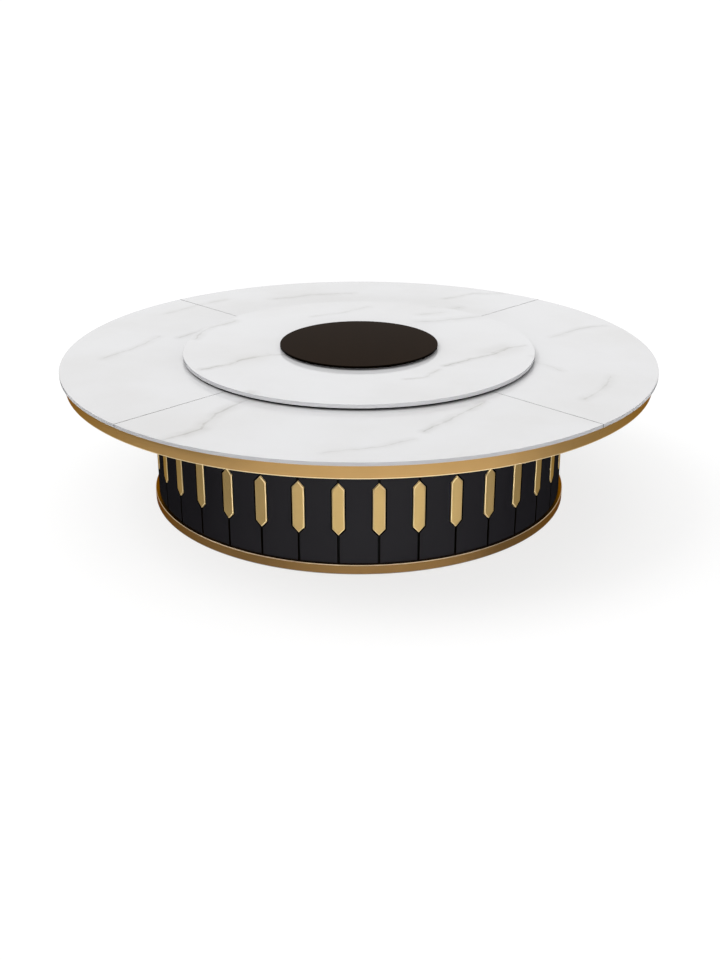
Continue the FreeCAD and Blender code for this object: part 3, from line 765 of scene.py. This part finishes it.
def glass_material():
    """Black-brown glass with a painted back, a polished face and a darker edge."""
    n = new_nodes("glass")
    place = n.place()
    smear = n.noise(n.vector("MULTIPLY", place, SMEAR_FINENESS)["Vector"], scale=1.0)["Fac"]
    face = n.mix(smear, *GLASS_BROWNS)
    rim = n.rim()
    colour = n.mix(rim, face, GLASS_RIM)
    roughness = n.shift(smear, start=0.05, change=0.06)
    return n.set(color=colour, roughness=roughness, specular=n.gloss(0.003, *TOP_GRAZING))


def plain_material(name, dark, light, roughness, spread=0.1, metallic=0.0, specular=0.5):
    """A cast, painted or moulded surface with fine grain and slight unevenness."""
    n = new_nodes(name)
    place = n.place()
    uneven = n.noise(place, scale=10.0)["Fac"]
    fine = n.noise(place, scale=320.0, detail=3.0)["Fac"]
    n.bump(fine, distance=0.05 * MILLIMETRE)
    return n.set(color=n.mix(uneven, rgb(*dark), rgb(*light)), metallic=metallic, specular=specular,
                 roughness=n.shift(fine, start=roughness - spread / 2, change=spread))


def board_material():
    """Plywood: thin plies on the edges and long grain on the faces."""
    n = new_nodes("board")
    place = n.place()
    layers = n.vector("MULTIPLY", place, PLY_FINENESS)["Vector"]
    plies = n.noise(layers, scale=1.0, detail=1.0)["Fac"]
    fibres = n.vector("MULTIPLY", place, FIBRE_FINENESS)["Vector"]
    grain = n.noise(fibres, scale=1.0, detail=5.0, roughness=0.6)["Fac"]
    both = n.shift(plies, start=n.math("MULTIPLY", grain, 0.6), change=0.4)
    n.bump(grain, distance=0.1 * MILLIMETRE)
    return n.set(color=n.mix(both, *PLYWOOD_BROWNS), roughness=0.62)


# Plain surfaces: dark and light colour and roughness, then the roughness's spread, how metallic it
# is and its specular level, where these differ from what plain_material gives
PLAIN = {
    "zinc_steel": ((0.48, 0.49, 0.50), (0.60, 0.61, 0.62), 0.34, 0.2, 1.0),
    "machined_steel": ((0.46, 0.46, 0.47), (0.54, 0.54, 0.55), 0.24, 0.1, 1.0),
    "aluminium": ((0.70, 0.71, 0.72), (0.78, 0.79, 0.80), 0.36, 0.1, 1.0),
    "black_board": ((0.002, 0.002, 0.002), (0.004, 0.004, 0.004), 0.6, 0.1, 0.0, 0.05),
    "frame_steel": ((0.025, 0.025, 0.027), (0.04, 0.04, 0.042), 0.5),
    "motor_case": ((0.07, 0.08, 0.09), (0.10, 0.11, 0.12), 0.42),
    "plastic": ((0.04, 0.04, 0.045), (0.06, 0.06, 0.065), 0.5),
    "nylon": ((0.66, 0.65, 0.61), (0.73, 0.72, 0.68), 0.45),
    "rubber": ((0.022, 0.022, 0.022), (0.036, 0.036, 0.036), 0.75),
}


def make_materials():
    """A material for every slot of the record, and the golds of the inlays and the plinth, the plinth's a
    darker copy with painted shade.
    """
    made = {name: plain_material(name, *values) for name, values in PLAIN.items()}
    made["stone"] = stone_material()
    made["black_panel"] = panel_material()
    made["glass"] = glass_material()
    made["board"] = board_material()
    for slot, values in GOLDS.items():
        made[slot] = gold_material(*values)
    return made


def dress_nodes(materials):
    """Gives every CAD node the material of its slot."""
    for row in frame["record"]["subparts"]:
        data = frame["nodes"][row["node"]].data
        data.materials.clear()
        data.materials.append(materials[row["material_slot"]])


def make_floor():
    """A plain pale floor that keeps the table's shadow, white away from it, with painted shade under the
    plinth where its glow is turned off.
    """
    n = new_nodes("floor")
    rays = n.add("ShaderNodeLightPath").outputs
    mirrored = n.math("ADD", rays["Is Glossy Ray"], rays["Is Transmission Ray"])
    seen = n.math("ADD", rays["Is Camera Ray"], mirrored, clamp=True)
    flat = n.vector("MULTIPLY", n.place(), FLAT)["Vector"]
    edge = reach("plinth_trim_front")[1]
    # Painted shade: the glow is turned off under the plinth.
    outside_painted_shade = n.span(n.vector("LENGTH", flat)["Value"], edge - SHADE_EDGE, edge)
    glow = n.math("MULTIPLY", n.math("MULTIPLY", seen, outside_painted_shade), FLOOR_GLOW)
    n.set(color=grey(FLOOR_GREY), roughness=0.9, specular=0.0, glow_color=grey(1.0), glow=glow)
    far = FLOOR_REACH
    corners = [(-far, -far, 0), (far, -far, 0), (far, far, 0), (-far, far, 0)]
    data = bpy.data.meshes.new("floor")
    data.from_pydata(corners, [], [(0, 1, 2, 3)])
    data.materials.append(n.owner)
    floor = bpy.data.objects.new("floor", data)
    bpy.context.scene.collection.objects.link(floor)


def make_world():
    """A studio with a pale horizon, a wide softbox low in front, a backdrop and a light overhead."""
    world = bpy.data.worlds.new("studio")
    bpy.context.scene.world = world
    n = Nodes(world)
    direction = n.add("ShaderNodeTexCoord").outputs["Generated"]
    depth, height = n.add("ShaderNodeSeparateXYZ", {0: direction}).outputs[1:]
    across = n.vector("DOT_PRODUCT", direction, SOFTBOX_DIRECTION)["Value"]
    strip = n.math("MULTIPLY", n.span(height, *SOFTBOX_FOOT), n.span(height, *SOFTBOX_HEAD))
    softbox = n.math("MULTIPLY", n.span(across, *SOFTBOX_ACROSS), strip)
    backdrop = n.math("MULTIPLY", n.span(depth, *BACKDROP_DEPTH), n.span(height, *BACKDROP_HEIGHT))
    around = n.math("MAXIMUM", backdrop, n.span(height, *OVERHEAD_HEIGHT))
    pale = n.math("SMOOTH_MAX", n.span(height, *HORIZON_HEIGHT), around, HORIZON_BLEND)
    level = n.math("MAXIMUM", softbox, pale)
    colour = n.add("ShaderNodeCombineXYZ", {0: level, 1: level, 2: level}).outputs[0]
    n.set(light=colour)


def make_lamp(name, place, spread, strength):
    """A soft lamp that lights everything evenly from the direction of its place."""
    data = bpy.data.lights.new(name, "SUN")
    data.angle = math.radians(spread)
    data.energy = strength
    lamp = bpy.data.objects.new(name, data)
    lamp.location = place
    lamp.rotation_euler = (-Vector(place)).to_track_quat("-Z", "Y").to_euler()
    bpy.context.scene.collection.objects.link(lamp)


def make_camera():
    """The camera at the photograph's viewing angle."""
    data = bpy.data.cameras.new("camera")
    data.lens = CAMERA_LENS
    camera = bpy.data.objects.new("camera", data)
    camera.location = CAMERA_PLACE
    camera.rotation_euler = (CAMERA_TILT, 0, 0)
    bpy.context.scene.collection.objects.link(camera)
    bpy.context.scene.camera = camera


make_camera()
make_floor()
make_world()
for lamp_values in LAMPS:
    make_lamp(*lamp_values)

finishes = make_materials()
dress_nodes(finishes)
for side_name in QUARTERS:
    make_stone_top(side_name, finishes["stone"])
    make_seam_shade_strip(side_name, finishes["rubber"])
    make_skin_joint(side_name, finishes["black_board"])
    make_skirt(side_name, finishes["gold_steel"])
    make_panels(side_name, finishes["black_panel"])
    make_inlays(side_name, finishes["gold_inlay"])
    make_plinth_trim(side_name, finishes["shaded_plinth_gold"])
make_disc("turntable_stone", "turntable", "stone", finishes["stone"], STONE_EDGE)
make_disc("turntable_board", "turntable", "black_board", finishes["black_board"], BOARD_EDGE)
make_disc("glass_disc", "centre_disc", "glass", finishes["glass"], GLASS_EDGE)

bpy.context.scene.view_settings.view_transform = "Standard"
